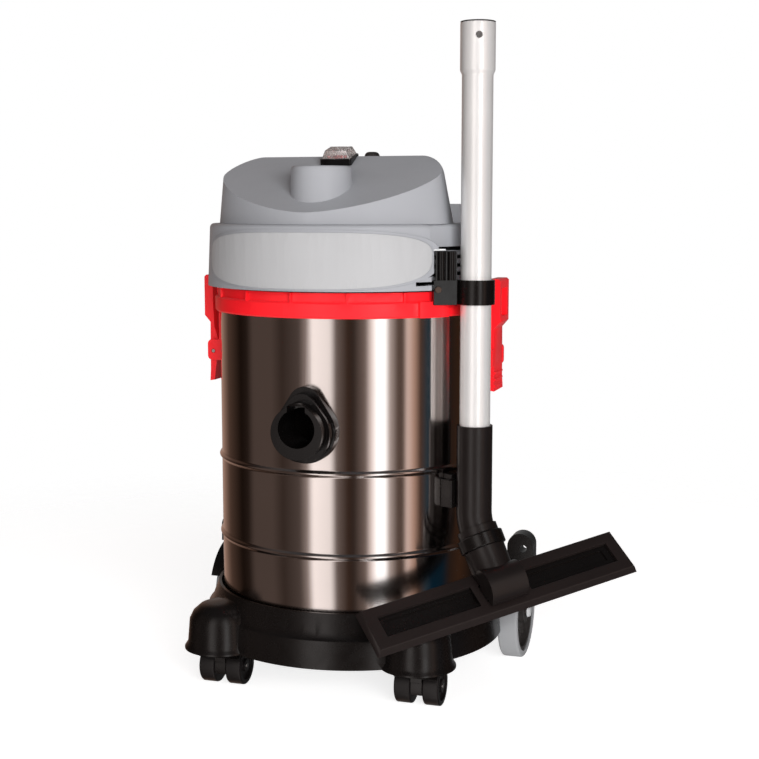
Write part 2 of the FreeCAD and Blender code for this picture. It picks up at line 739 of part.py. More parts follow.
na = math.radians(neck_azimuth)
nd = math.radians(neck_drop)
neck_dir = V(math.cos(nd) * math.sin(na), -math.cos(nd) * math.cos(na), -math.sin(nd))
bend_at = V(wand_x, wand_y, bend_z)


def along(t):
    return bend_at + neck_dir * t


def elbow_pipe(r, top, reach):
    bend_len = 16.0
    down = V(wand_x, wand_y, bend_z + bend_len)
    out = along(bend_len)
    arc_mid = bend_at + ((down - bend_at) + (out - bend_at)) * 0.245
    path = Part.Wire([
        Part.makeLine(V(wand_x, wand_y, top), down),
        Part.Arc(down, arc_mid, out).toShape(),
        Part.makeLine(out, along(reach)),
    ])
    ring_edge = Part.Wire(Part.makeCircle(r, V(wand_x, wand_y, top), Z))
    return path.makePipeShell([ring_edge], True, False)


elbow_out = elbow_pipe(elbow_r, elbow_top, 18.0)
elbow_in = elbow_pipe(15.5, 322.0, 60.0)
spigot = cyl(18.0, 44.0 - 10.0, along(10.0), neck_dir)
lip = cyl(24.6, 9.0, along(9.4), neck_dir)
elbow = elbow_out.fuse([spigot, lip]).cut(elbow_in).cut(cyl(wand_r, 40, V(wand_x, wand_y, 318)))
nodes["elbow_tube"] = elbow.removeSplitter()

# ---------------------------------------------------------------- neck and floor nozzle
hinge = along(hinge_at)
yaw = math.radians(nozzle_yaw)
pitch = math.atan(math.sin(na - yaw) / math.tan(nd))
n_long = V(math.cos(pitch) * math.cos(yaw), math.cos(pitch) * math.sin(yaw), math.sin(pitch))
flat = V(math.sin(yaw), -math.cos(yaw), 0)
n_up0 = flat.cross(n_long)
roll = math.radians(nozzle_roll)
n_up = flat * math.sin(roll) + n_up0 * math.cos(roll)
n_wide = n_up.cross(n_long)
frame_m = FreeCAD.Matrix(
    n_long.x, n_wide.x, n_up.x, hinge.x,
    n_long.y, n_wide.y, n_up.y, hinge.y,
    n_long.z, n_wide.z, n_up.z, hinge.z,
    0, 0, 0, 1,
)


def on_nozzle(shape):
    # Local X runs along the nozzle, Y across it to the rear edge, Z out of its top face
    m = frame_m
    return shape.transformed(m)


def drop_pipe(r0, r1, t0, t1):
    return tube(r1, r0, t1 - t0, along(t0), neck_dir)


nodes["swivel_ring"] = drop_pipe(22.1, 28.0, 19.0, 35.0)
arch = cyl(23.0, 48.0, V(-24.0, 0, 14.0), X).fuse(box(-24, 24, -23, 23, nozzle_top + 4.5, 14))
arch = arch.cut(box(-40, 40, -40, 40, -40, nozzle_top + 4.5))
arch = rounded(arch, 3.0, lambda e: e.BoundBox.XLength < 0.01 and e.BoundBox.ZMax > 20)
plug = cyl(neck_r, 60.0, along(35.3), neck_dir)
plug = plug.common(on_nozzle(box(-24, 24, -40, 40, nozzle_top + 4.5, 90)))
neck = cyl(neck_r, 34.0, along(35.3), neck_dir)
neck = neck.common(on_nozzle(box(-90, 90, -90, 90, nozzle_top + 4.5, 190)))
neck = neck.fuse([cyl(22.0, 20.0, along(18.6), neck_dir), plug, on_nozzle(arch)])
barrel = cyl(11.0, 48.0, hinge - n_long * 24.0, n_long)
neck = neck.fuse([on_nozzle(box(-24, 24, -9, 9, -4, nozzle_top + 6)), barrel])
neck = neck.cut(cyl(18.0 + 2 * fit, 27.0, along(18.0), neck_dir))
neck = neck.cut(cyl(17.0, 22.0, along(44.0), neck_dir))
neck = neck.cut(cyl(8.0, 60.0, along(60.0), neck_dir))
neck = neck.cut(cyl(3.0 + fit, 70.0, hinge - n_long * 35.0, n_long))
nodes["nozzle_neck"] = neck

half_l = nozzle_len / 2
half_w = nozzle_wide / 2


def nozzle_layer(out0, z0, out1, z1):
    # Four-sided layer of the nozzle, offset from the outline of the top face at both heights
    wires = []
    for out, z in ((out0, z0), (out1, z1)):
        w = half_l + out
        d = half_w + out * 0.75
        wires.append(Part.makePolygon([V(-w, -d, z), V(w, -d, z), V(w, d, z), V(-w, d, z), V(-w, -d, z)]))
    return Part.makeLoft(wires, True, True)


body = nozzle_layer(4.0, nozzle_top - 10.0, 0.0, nozzle_top)
body = rounded(body, 1.5, lambda e: e.BoundBox.ZMin > nozzle_top - 0.1)
body = body.fuse(nozzle_layer(-6.0, nozzle_low, -6.0, nozzle_top - 9.0))
for s in (1, -1):
    a, b = sorted((s * 34.0, s * (half_l - 15)))
    body = body.cut(box(a, b, -15, 15, nozzle_top - 4, nozzle_top + 5))
    a, b = sorted((s * 34.0, s * (half_l - 24)))
    body = body.cut(box(a, b, -7, 9, nozzle_top - 6, nozzle_top))
body = body.cut(box(-24.6, 24.6, -12.5, 12.5, -6, 30))
body = body.cut(cyl(11.6, 49.2, V(-24.6, 0, 0), X))
body = body.cut(box(-half_l + 16, half_l - 16, -9, 9, nozzle_low - 1, -2))
body = body.cut(cyl(3.0, 70.0, V(-35, 0, 0), X))
nodes["nozzle_body"] = on_nozzle(body.removeSplitter())
sole = nozzle_layer(-6.0, nozzle_low - 3, -6.0, nozzle_low)
sole = sole.cut(box(-half_l + 16, half_l - 16, -9, 9, nozzle_low - 5, nozzle_low + 1))
nodes["nozzle_sole"] = on_nozzle(sole)
strips = []
for y in (-15.0, 15.0):
    strips.append(on_nozzle(box(-half_l + 12, half_l - 12, y - 3, y + 3, nozzle_low - 8, nozzle_low - 3)))
nodes["bristle_strips"] = Part.makeCompound(strips)
pins = []
for s in (1, -1):
    pins.append(on_nozzle(cyl(3.0, 14.0, V(s * 17.5, 0, 0), X * s)))
nodes["pivot_pins"] = Part.makeCompound(pins)

# ---------------------------------------------------------------- rear wheels
def wheel_parts(side):
    x0 = wheel_x - wheel_w / 2
    c = V(x0, wheel_y, wheel_r)
    hub_r = wheel_r - tyre_deep
    tyre = tube(wheel_r, hub_r, wheel_w, c, X)
    tyre = rounded(tyre, 3.0, lambda e: e.BoundBox.YLength > 2 * wheel_r - 1)
    hub = tube(hub_r, hub_r - 5, wheel_w - 4, V(x0 + 2, wheel_y, wheel_r), X)
    hub = hub.fuse(tube(hub_r - 4, 14.0, 5.0, V(x0 + 13, wheel_y, wheel_r), X))
    hub = hub.fuse(tube(16.0, axle_r + fit, wheel_w - 1, V(x0 + 0.5, wheel_y, wheel_r), X))
    for i in range(9):
        slot = slab(30, 8, 15, 3.9, V(x0 + 15, 0, 26))
        slot.rotate(V(0, 0, 0), X, 40 * i)
        slot.translate(V(0, wheel_y, wheel_r))
        hub = hub.cut(slot)
    hub = hub.removeSplitter()
    if side < 0:
        return mirror(tyre), mirror(hub)
    return tyre, hub


for name, side in (("right", 1), ("left", -1)):
    tyre, hub = wheel_parts(side)
    nodes["rear_wheel_" + name + "_tyre"] = tyre
    nodes["rear_wheel_" + name + "_hub"] = hub

# ---------------------------------------------------------------- casters
def caster_parts(cx, cy):
    ay = cy + caster_trail
    az = caster_wheel_r
    hood = cyl(21.5, 14.0, V(cx - 7, ay, az), X).cut(box(cx - 8, cx + 8, ay - 30, ay + 30, -5, az - 8))
    hood = hood.fuse([cyl(7.0, 12.0, V(cx, cy, 38.2)), cyl(12.0, 1.9, V(cx, cy, 48.3))])
    cover = tube(28.0, 26.2, 54.0, V(cx - 27, ay, az), X)
    cover = cover.cut(box(cx - 40, cx + 40, ay - 40, ay + 40, -10, az + 14))
    cover = cover.cut(box(cx - 40, cx + 40, ay - 40, ay + 40, 50.2, 80))
    web = box(cx - 7, cx + 7, ay - 22, ay + 22, az + 8, 50.2).common(cyl(28.0, 14.0, V(cx - 7, ay, az), X))
    hood = hood.fuse([cover, web]).cut(cyl(3.0, 80, V(cx - 40, ay, az), X))
    hood = hood.cut(cyl(stem_r, 30, V(cx, cy, 40.0)))
    stem = cyl(stem_r, 44.0, V(cx, cy, 40.0))
    hood = hood.cut(stem)
    axle = cyl(3.0, 56.0, V(cx - 28, ay, az), X)
    wheels = []
    for s in (-1, 1):
        x0 = cx + s * 7.6 if s > 0 else cx - 7.6 - caster_wheel_w
        w = tube(caster_wheel_r, 3.0 + fit, caster_wheel_w, V(x0, ay, az), X)
        w = rounded(w, 2.0, lambda e: e.BoundBox.YLength > 2 * caster_wheel_r - 1)
        groove_x = x0 + caster_wheel_w - 3 if s > 0 else x0 - 1
        w = w.cut(tube(18.0, 8.0, 4.0, V(groove_x, ay, az), X))
        wheels.append(w)
    return hood.removeSplitter(), stem, axle, wheels


for name, side in (("right", 1), ("left", -1)):
    hood, stem, axle, wheels = caster_parts(side * lug_at.x, lug_at.y)
    key = "caster_" + name
    nodes[key + "_hood"] = hood
    nodes[key + "_stem"] = stem
    nodes[key + "_axle"] = axle
    nodes[key + "_wheel_a"] = wheels[0]
    nodes[key + "_wheel_b"] = wheels[1]

# ---------------------------------------------------------------- export
os.makedirs("parts", exist_ok=True)
shift = V(origin_x, origin_y, 0)
low = V(1e9, 1e9, 1e9)
high = V(-1e9, -1e9, -1e9)
for name, shape in nodes.items():
    moved = shape.copy()
    moved.translate(shift)
    moved.exportStep("parts/" + name + ".step")
    b = moved.optimalBoundingBox(False, False)
    low = V(min(low.x, b.XMin), min(low.y, b.YMin), min(low.z, b.ZMin))
    high = V(max(high.x, b.XMax), max(high.y, b.YMax), max(high.z, b.ZMax))
    print(name, moved.isValid(), len(moved.Solids), round(moved.Volume / 1000.0, 1))
print("bounds", low, high, len(nodes))
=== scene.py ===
import json
import math

import bmesh
import bpy
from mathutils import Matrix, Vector


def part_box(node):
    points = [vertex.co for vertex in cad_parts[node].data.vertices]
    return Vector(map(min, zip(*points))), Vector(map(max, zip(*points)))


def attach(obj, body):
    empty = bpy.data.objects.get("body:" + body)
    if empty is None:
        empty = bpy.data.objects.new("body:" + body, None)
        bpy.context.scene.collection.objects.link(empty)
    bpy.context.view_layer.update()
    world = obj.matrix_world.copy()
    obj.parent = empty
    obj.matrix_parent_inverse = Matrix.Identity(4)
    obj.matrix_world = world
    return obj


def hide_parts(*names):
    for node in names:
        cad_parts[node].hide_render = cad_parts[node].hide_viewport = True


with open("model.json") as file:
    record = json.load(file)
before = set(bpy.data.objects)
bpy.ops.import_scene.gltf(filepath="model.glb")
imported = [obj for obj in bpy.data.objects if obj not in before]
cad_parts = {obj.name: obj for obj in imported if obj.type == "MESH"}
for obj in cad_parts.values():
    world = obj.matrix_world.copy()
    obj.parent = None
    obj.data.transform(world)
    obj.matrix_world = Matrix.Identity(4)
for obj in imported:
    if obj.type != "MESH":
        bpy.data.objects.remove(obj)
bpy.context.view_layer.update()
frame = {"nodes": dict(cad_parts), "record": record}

MM = 0.001
# the machine's millimetres are counted from the drum's axis, on the floor
drum_lo, drum_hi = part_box("drum")
CX = (drum_lo.x + drum_hi.x) / 2
CY = (drum_lo.y + drum_hi.y) / 2


def W(x, y, z):
    """Machine millimetres (drum axis, floor) to the frame's metres."""
    return Vector((CX + x * MM, CY + y * MM, z * MM))


def place(name, data):
    ob = bpy.data.objects.new(name, data)
    bpy.context.collection.objects.link(ob)
    return ob


# ------------------------------------------------------------------ camera
AZ = math.radians(17.5)
PITCH = math.radians(7.1)
CAMERA_AT = (565.0, -1682.0, 595.0)
SENSOR = 36.0
FOCAL_PER_FRAME = 1385.2 / 759.0
# level directions to the camera's right and towards the camera
RIGHT = Vector((math.cos(AZ), math.sin(AZ), 0))
BACK = Vector((math.sin(AZ), -math.cos(AZ), 0))

cam_data = bpy.data.cameras.new("view")
cam_data.sensor_width = SENSOR
cam_data.lens = FOCAL_PER_FRAME * SENSOR
cam_data.clip_start = 0.05
cam_data.clip_end = 50.0
cam = place("view", cam_data)
cam.location = W(*CAMERA_AT)
look = -BACK * math.cos(PITCH) - Vector((0, 0, 1)) * math.sin(PITCH)
cam.rotation_euler = look.to_track_quat("-Z", "Y").to_euler()
bpy.context.scene.camera = cam
bpy.context.scene.view_settings.view_transform = "Standard"


# ------------------------------------------------------------------ materials
def nodes_of(name):
    """A new material with only a principled shader and its output."""
    m = bpy.data.materials.new(name)
    m.use_nodes = True
    nt = m.node_tree
    nt.nodes.clear()
    out = nt.nodes.new("ShaderNodeOutputMaterial")
    bsdf = nt.nodes.new("ShaderNodeBsdfPrincipled")
    nt.links.new(bsdf.outputs[0], out.inputs[0])
    return m, nt, bsdf


def coord(nt, scale=(1, 1, 1)):
    tc = nt.nodes.new("ShaderNodeTexCoord")
    mp = nt.nodes.new("ShaderNodeMapping")
    mp.inputs["Scale"].default_value = scale
    nt.links.new(tc.outputs["Object"], mp.inputs["Vector"])
    return mp.outputs["Vector"]


def noise(nt, vec, scale, detail=3.0, rough=0.5):
    n = nt.nodes.new("ShaderNodeTexNoise")
    n.inputs["Scale"].default_value = scale
    n.inputs["Detail"].default_value = detail
    n.inputs["Roughness"].default_value = rough
    nt.links.new(vec, n.inputs["Vector"])
    return n.outputs["Fac"]


def ramp(nt, fac, stops):
    r = nt.nodes.new("ShaderNodeValToRGB")
    cr = r.color_ramp
    while len(cr.elements) < len(stops):
        cr.elements.new(0.5)
    for e, (p, c) in zip(cr.elements, stops):
        e.position = p
        e.color = (*c, 1.0)
    nt.links.new(fac, r.inputs["Fac"])
    return r.outputs["Color"]


def spread(nt, fac, lo, hi, a=0.3, b=0.7):
    """Maps a value's range a..b to lo..hi."""
    r = nt.nodes.new("ShaderNodeMapRange")
    r.inputs["From Min"].default_value = a
    r.inputs["From Max"].default_value = b
    r.inputs["To Min"].default_value = lo
    r.inputs["To Max"].default_value = hi
    nt.links.new(fac, r.inputs["Value"])
    return r.outputs["Result"]


def bump(nt, height, strength, distance, normal=None):
    b = nt.nodes.new("ShaderNodeBump")
    b.inputs["Strength"].default_value = strength
    b.inputs["Distance"].default_value = distance
    nt.links.new(height, b.inputs["Height"])
    if normal is not None:
        nt.links.new(normal, b.inputs["Normal"])
    return b.outputs["Normal"]


def shade(c, k):
    return tuple(min(1.0, v * k) for v in c)


def eased_edges(nt, radius):
    """Normals that run softly over edges within the radius."""
    bev = nt.nodes.new("ShaderNodeBevel")
    bev.samples = 4
    bev.inputs["Radius"].default_value = radius
    return bev.outputs["Normal"]


def plastic(name, color, rough, grain=0.25, grain_scale=1500.0, wear=0.06, coat=0.0, spec=0.5):
    """Moulded plastic: fine eroded grain, faint cloudy variation and softened edges."""
    m, nt, b = nodes_of(name)
    v = coord(nt)
    cloud = noise(nt, v, 9.0, 4.0)
    fine = noise(nt, v, grain_scale, 2.0, 0.6)
    smear = noise(nt, v, 45.0, 5.0, 0.6)
    col = ramp(nt, cloud, [(0.3, shade(color, 1.0 - wear)), (0.7, shade(color, 1.0 + wear))])
    nt.links.new(col, b.inputs["Base Color"])
    nt.links.new(spread(nt, smear, rough - 0.04, rough + 0.07), b.inputs["Roughness"])
    nt.links.new(bump(nt, fine, grain, 0.00006, eased_edges(nt, 0.0006)), b.inputs["Normal"])
    b.inputs["Specular IOR Level"].default_value = spec
    if coat:
        b.inputs["Coat Weight"].default_value = coat
        b.inputs["Coat Roughness"].default_value = 0.12
    return m


def metal(name, color, rough, aniso=0.0, streak=(1, 1, 1), streak_scale=1.0, depth=0.00003,
          tint=0.05, amount=1.0, vary=0.05):
    """Bare metal with drawn or brushed streaks along one direction."""
    m, nt, b = nodes_of(name)
    v = coord(nt, streak)
    s = noise(nt, v, streak_scale, 6.0, 0.65)
    cloud = noise(nt, coord(nt), 7.0, 3.0)
    col = ramp(nt, cloud, [(0.3, shade(color, 1.0 - tint)), (0.7, shade(color, 1.0 + tint))])
    nt.links.new(col, b.inputs["Base Color"])
    b.inputs["Metallic"].default_value = amount
    nt.links.new(spread(nt, s, rough - vary, rough + vary), b.inputs["Roughness"])
    if aniso:
        t = nt.nodes.new("ShaderNodeTangent")
        t.direction_type = "RADIAL"
        t.axis = "Z"
        nt.links.new(t.outputs["Tangent"], b.inputs["Tangent"])
        b.inputs["Anisotropic"].default_value = aniso
        b.inputs["Anisotropic Rotation"].default_value = 0.25
    nt.links.new(bump(nt, s, 0.35, depth, eased_edges(nt, 0.0004)), b.inputs["Normal"])
    return m


MAT = {
    "stainless": metal("stainless", (0.68, 0.63, 0.61), 0.15, 0.92, (10, 10, 2600), 1.0, 0.000004,
                       tint=0.03, vary=0.03),
    "red_plastic": plastic("red_plastic", (0.95, 0.012, 0.02), 0.36, 0.18, 1300.0, 0.05),
    "black_plastic": plastic("black_plastic", (0.0042, 0.0034, 0.0032), 0.25, 0.16, 1100.0, 0.2, spec=0.42),
    "black_gloss": plastic("black_gloss", (0.003, 0.0025, 0.0025), 0.17, 0.05, 900.0, 0.2, coat=0.06,
                           spec=0.3),
    "steel": metal("steel", (0.62, 0.61, 0.60), 0.25, 0.0, (200, 200, 200), 2.0),
    "iron": metal("iron", (0.16, 0.12, 0.10), 0.5, 0.0, (30, 30, 1800), 1.0, 0.0001),
    "aluminium": metal("aluminium", (0.84, 0.835, 0.83), 0.36, 0.0, (900, 900, 12), 1.0, 0.00001,
                       amount=0.5),
    "cap_grey": plastic("cap_grey", (0.50, 0.51, 0.52), 0.35),
    "grey_plastic": plastic("grey_plastic", (0.315, 0.325, 0.348), 0.42, 0.15, 1500.0, 0.03, spec=0.35),
    "panel_grey": plastic("panel_grey", (0.39, 0.395, 0.405), 0.40, 0.1, 1500.0, 0.02, spec=0.35),
    "seal_rubber": plastic("seal_rubber", (0.02, 0.02, 0.02), 0.7, 0.3),
    "filter_fabric": plastic("filter_fabric", (0.72, 0.70, 0.65), 0.9, 0.8, 500.0, 0.08),
    "float_white": plastic("float_white", (0.75, 0.75, 0.72), 0.35),
    "bristle": plastic("bristle", (0.02, 0.02, 0.02), 0.85, 0.9, 700.0, 0.3),
    "tyre_grey": plastic("tyre_grey", (0.27, 0.275, 0.285), 0.55, 0.3, 900.0, 0.05),
    "hub_dark": plastic("hub_dark", (0.030, 0.027, 0.026), 0.38, 0.2, 1100.0, 0.15, spec=0.35),
    "caster_tyre": plastic("caster_tyre", (0.006, 0.005, 0.005), 0.36, 0.25, 1000.0, 0.2, spec=0.35),
}


def clear_plastic(name, color, rough, trans):
    """Clear or tinted plastic, a little smeared; trans is how much light goes through."""
    m, nt, b = nodes_of(name)
    v = coord(nt)
    smear = noise(nt, v, 160.0, 4.0)
    col = ramp(nt, smear, [(0.3, shade(color, 0.95)), (0.7, shade(color, 1.04))])
    nt.links.new(col, b.inputs["Base Color"])
    nt.links.new(spread(nt, smear, rough, rough + 0.12), b.inputs["Roughness"])
    nt.links.new(bump(nt, smear, 0.2, 0.0002), b.inputs["Normal"])
    b.inputs["Transmission Weight"].default_value = trans
    b.inputs["IOR"].default_value = 1.45
    return m


MAT["clear_cap"] = clear_plastic("clear_cap", (0.93, 0.88, 0.87), 0.18, 0.9)
MAT["rocker_red"] = clear_plastic("rocker_red", (0.55, 0.015, 0.02), 0.2, 0.25)

SLOT = {s["node"]: s["material_slot"] for s in frame["record"]["subparts"]}
for name, obj in frame["nodes"].items():
    obj.data.materials.clear()
    obj.data.materials.append(MAT[SLOT[name]])


# ------------------------------------------------------------------ mesh helpers
def body_of(node):
    for body, names in frame["record"]["behaviour"]["bodies"].items():
        if node in names:
            return body


def make(name, verts, faces, node, material=None, smooth=35.0, more=()):
    """A finished piece standing for CAD nodes, from machine millimetres."""
    me = bpy.data.meshes.new(name)
    me.from_pydata([W(*v) for v in verts], [], faces)
    me.validate()
    ob = place(name, me)
    finish_piece(ob, node, material, smooth, more)
    return ob


def tidy_normals(me, smooth):
    """Merges doubled points, turns faces outwards and smooths all but edges over the angle."""
    bm = bmesh.new()
    bm.from_mesh(me)
    bmesh.ops.remove_doubles(bm, verts=bm.verts, dist=1e-6)
    bmesh.ops.recalc_face_normals(bm, faces=bm.faces)
    bm.to_mesh(me)
    bm.free()
    me.polygons.foreach_set("use_smooth", [True] * len(me.polygons))
    me.set_sharp_from_angle(angle=math.radians(smooth))


def finish_piece(ob, node, material=None, smooth=35.0, more=()):
    tidy_normals(ob.data, smooth)
    ob.data.materials.clear()
    ob.data.materials.append(material or MAT[SLOT[node]])
    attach(ob, body_of(node))
    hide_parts(node, *more)


def soft_edges(ob, width, segments, degrees):
    md = ob.modifiers.new("edges", "BEVEL")
    md.width = width
    md.segments = segments
    md.limit_method = "ANGLE"
    md.angle_limit = math.radians(degrees)


SEAM_Z = 575.0
SHOULDER = 5.0


def on_shoulder(edge):
    """Whether an edge of the lower housing lies on its outer rim at the head's seam."""
    return edge.is_convex and edge.calc_face_angle(0.0) > 0.5 and all(
        abs(q.co.z - SEAM_Z * MM) < 2e-5 and math.hypot(q.co.x - CX, q.co.y - CY) > 0.165
        for q in edge.verts)


def carry(node, bevel):
    """The CAD node's own shape with clean normals and softened edges."""
    me = frame["nodes"][node].data.copy()
    ob = place(node + "_skin", me)
    bm = bmesh.new()
    bm.from_mesh(me)
    bmesh.ops.remove_doubles(bm, verts=bm.verts, dist=1e-6)
    bmesh.ops.dissolve_limit(bm, angle_limit=math.radians(0.8), verts=bm.verts, edges=bm.edges)
    if node == "lower_housing":
        bmesh.ops.bevel(bm, geom=[e for e in bm.edges if on_shoulder(e)], offset=SHOULDER * MM,
                        segments=5, profile=0.5, affect="EDGES", clamp_overlap=False)
    bm.to_mesh(me)
    bm.free()
    finish_piece(ob, node, None, 30.0)
    soft_edges(ob, bevel, 2, 40)


def two_tone(ob, second, pick):
    """A second material on the faces chosen by their centre in machine millimetres."""
    ob.data.materials.append(second)
    for p in ob.data.polygons:
        c = ob.data.vertices[p.vertices[0]].co.copy()
        for i in p.vertices[1:]:
            c += ob.data.vertices[i].co
        c /= len(p.vertices)
        if pick(Vector(((c.x - CX) / MM, (c.y - CY) / MM, c.z / MM))):
            p.material_index = 1


def lathe_mesh(profile, n, cx=0.0, cy=0.0):
    """A profile of (radius, height) points turned round an upright axis in n steps."""
    verts, faces = [], []
    rows = []
    for r, z in profile:
        if r < 1e-6:
            rows.append([len(verts)])
            verts.append((cx, cy, z))
        else:
            rows.append(list(range(len(verts), len(verts) + n)))
            for i in range(n):
                a = 2 * math.pi * i / n
                verts.append((cx + r * math.cos(a), cy + r * math.sin(a), z))
    for p, q in zip(rows, rows[1:]):
        for i in range(n):
            j = (i + 1) % n
            if len(p) == 1:
                faces.append((p[0], q[j], q[i]))
            elif len(q) == 1:
                faces.append((p[i], p[j], q[0]))
            else:
                faces.append((p[i], p[j], q[j], q[i]))
    return verts, faces


# ------------------------------------------------------------------ drum
DRUM_R, DRUM_INNER_R = 170.0, 168.8
DRUM_TOP = 486.0
WALL_FROM = 113.0
BEAD_BOTTOMS = (177.0, 277.0)
BEAD_TALL, BEAD_OUT = 10.0, 3.0
BEAD_STEPS = 16
INLET_R, INLET_Z = 28.0, 341.0


def wall_points(r, z0, z1, out):
    """An upright wall with rolled beads, and loops close to them that keep its shading flat."""
    pts = [(r, z0)]
    for b in BEAD_BOTTOMS:
        top = b + BEAD_TALL
        pts += [(r, b - 6.0), (r, b - 2.0), (r, b - 0.6)]
        for k in range(BEAD_STEPS + 1):
            t = k / BEAD_STEPS
            pts.append((r + out * math.sin(math.pi * t) ** 2, b + BEAD_TALL * t))
        pts += [(r, top + 0.6), (r, top + 2.0), (r, top + 6.0)]
    pts.append((r, z1))
    return pts


# the bottom plate and its rounded corner, then the wall; the inside comes back down
outer = [(0, 104.0), (160.0, 104.0), (164.5, 104.9), (168.0, 107.5), (169.6, 110.5)]
outer += wall_points(DRUM_R, WALL_FROM, DRUM_TOP, BEAD_OUT)
inner = [(DRUM_INNER_R, DRUM_TOP)]
inner += reversed(wall_points(DRUM_INNER_R, WALL_FROM, DRUM_TOP - 1.0, BEAD_OUT - 0.1))
inner += [(166.5, 108.0), (162.0, 105.6), (0, 105.2)]
v, f = lathe_mesh(outer + inner, 256)
drum = make("drum_shell", v, f, "drum", smooth=50.0)


def cutter(name, verts, faces):
    """A closed shape in machine millimetres for cut to use up."""
    me = bpy.data.meshes.new(name)
    me.from_pydata([W(*p) for p in verts], [], faces)
    ob = place(name, me)
    bm = bmesh.new()
    bm.from_mesh(me)
    bmesh.ops.recalc_face_normals(bm, faces=bm.faces)
    bm.to_mesh(me)
    bm.free()
    return ob


def cut(ob, tool, op="DIFFERENCE"):
    """Cuts the tool out of a piece, or joins it on, and deletes the tool."""
    md = ob.modifiers.new("cut", "BOOLEAN")
    md.operation = op
    md.solver = "EXACT"
    md.object = tool
    deps = bpy.context.evaluated_depsgraph_get()
    me = bpy.data.meshes.new_from_object(ob.evaluated_get(deps))
    ob.modifiers.remove(md)
    old = ob.data
    ob.data = me
    bpy.data.meshes.remove(old)
    bpy.data.objects.remove(tool)


def rod_points(r, a, b, n=48):
    """A straight rod of radius r from a to b."""
    a, b = Vector(a), Vector(b)
    d = (b - a).normalized()
    u = d.orthogonal().normalized()
    w = d.cross(u)
    verts = []
    for p in (a, b):
        for i in range(n):
            t = 2 * math.pi * i / n
            verts.append(tuple(p + u * r * math.cos(t) + w * r * math.sin(t)))
    faces = [tuple(range(n)), tuple(range(2 * n - 1, n - 1, -1))]
    for i in range(n):
        j = (i + 1) % n
        faces.append((i, j, n + j, n + i))
    return verts, faces


inlet_hole = rod_points(INLET_R, (0, -DRUM_R - 20, INLET_Z), (0, -DRUM_R + 30, INLET_Z))
cut(drum, cutter("hole", *inlet_hole))
tidy_normals(drum.data, 50.0)

# ------------------------------------------------------------------ wand
WX, WY = 182.4, -91.0
TUBE_R, TUBE_BORE, TUBE_FROM = 18.25, 16.75, 318.0
SOCKET_R = 20.5
SWAGE_FROM, SWAGE_TALL, SWAGE_STEPS = 745.5, 7.0, 10
SNAP_R, SNAP_Z = 4.0, 790.0

side = [(TUBE_R, TUBE_FROM), (TUBE_R, SWAGE_FROM - 1.5)]
for k in range(SWAGE_STEPS + 1):
    ease = 0.5 - 0.5 * math.cos(math.pi * k / SWAGE_STEPS)
    side.append((TUBE_R + (SOCKET_R - TUBE_R) * ease, SWAGE_FROM + SWAGE_TALL * k / SWAGE_STEPS))
side += [(SOCKET_R, 754.0), (SOCKET_R, 804.5), (20.1, 805.4), (19.4, 805.6)]
bore = [(18.5, 805.4), (18.45, 753.0), (16.8, 748.0), (TUBE_BORE, 745.0), (TUBE_BORE, TUBE_FROM),
        (TUBE_R, TUBE_FROM)]
v, f = lathe_mesh(side + bore, 96, WX, WY)
wand = make("wand_skin", v, f, "wand_tube", smooth=40.0)
snap_hole = rod_points(SNAP_R, (WX, WY, SNAP_Z), (WX + 12.0, WY - 38.1, SNAP_Z), 40)
cut(wand, cutter("snap", *snap_hole))
tidy_normals(wand.data, 40.0)
# the dark ring on the socket's mouth
ring = [(18.5, 800.0), (19.2, 805.7), (20.2, 805.8), (20.5, 806.2), (20.3, 806.8), (19.6, 807.0),
        (17.6, 807.0), (17.2, 806.6), (17.2, 800.0), (18.5, 800.0)]
v, f = lathe_mesh(ring, 96, WX, WY)
rim = make("wand_rim", v, f, "wand_tube", MAT["hub_dark"], 40.0)

# ------------------------------------------------------------------ upper cover
COVER_TOP = 657.0
CROWN, CROWN_STEPS = 22.0, 10
BOSS_Y, BOSS_TOP = -119.0, 643.0
SLOPE_LOW, SLOPE_HIGH = (-377.0, 490.0), (123.0, 740.0)


def plan_ring(inset, z, n=144):
    """Plan of the cover at a height: blunt nose, widest near the front, squarer tail."""
    t = (z - 570.0) / 90.0
    mid = -84.0 - 4.0 * t
    half = 146.0 - 10.5 * t - inset
    nose = 97.0 - 10.5 * t - inset
    tail = 190.0 - 5.0 * t - inset
    out = []
    for i in range(n):
        a = 2 * math.pi * i / n
        c, q = math.cos(a), math.sin(a)
        k = 1.6 if c > 0 else 2.0 - 0.5 * t
        x = half * math.copysign(abs(q) ** (2 / k), q)
        y = mid - (nose if c > 0 else tail) * math.copysign(abs(c) ** (2 / k), c)
        out.append((x, y, z))
    return out


def stack(rings):
    """A closed shape through rings of equally many points, from the lowest up."""
    verts = [p for ring in rings for p in ring]
    n = len(rings[0])
    faces = [tuple(range(n - 1, -1, -1)), tuple(range(len(verts) - n, len(verts)))]
    for k in range(len(rings) - 1):
        for i in range(n):
            j = (i + 1) % n
            faces.append((k * n + i, k * n + j, (k + 1) * n + j, (k + 1) * n + i))
    return verts, faces


def block(x0, x1, y0, y1, z0, z1):
    return stack([[(x0, y0, z), (x1, y0, z), (x1, y1, z), (x0, y1, z)] for z in (z0, z1)])


rings = [plan_ring(0.0, z) for z in (SEAM_Z, 590.0, 605.0, 620.0, 630.0)]
for k in range(CROWN_STEPS + 1):
    a = math.pi / 2 * k / CROWN_STEPS
    rings.append(plan_ring(CROWN * (1 - math.cos(a)), COVER_TOP - CROWN + CROWN * math.sin(a)))
v, f = stack(rings)
cover = make("cover_skin", v, f, "upper_cover", smooth=30.0)
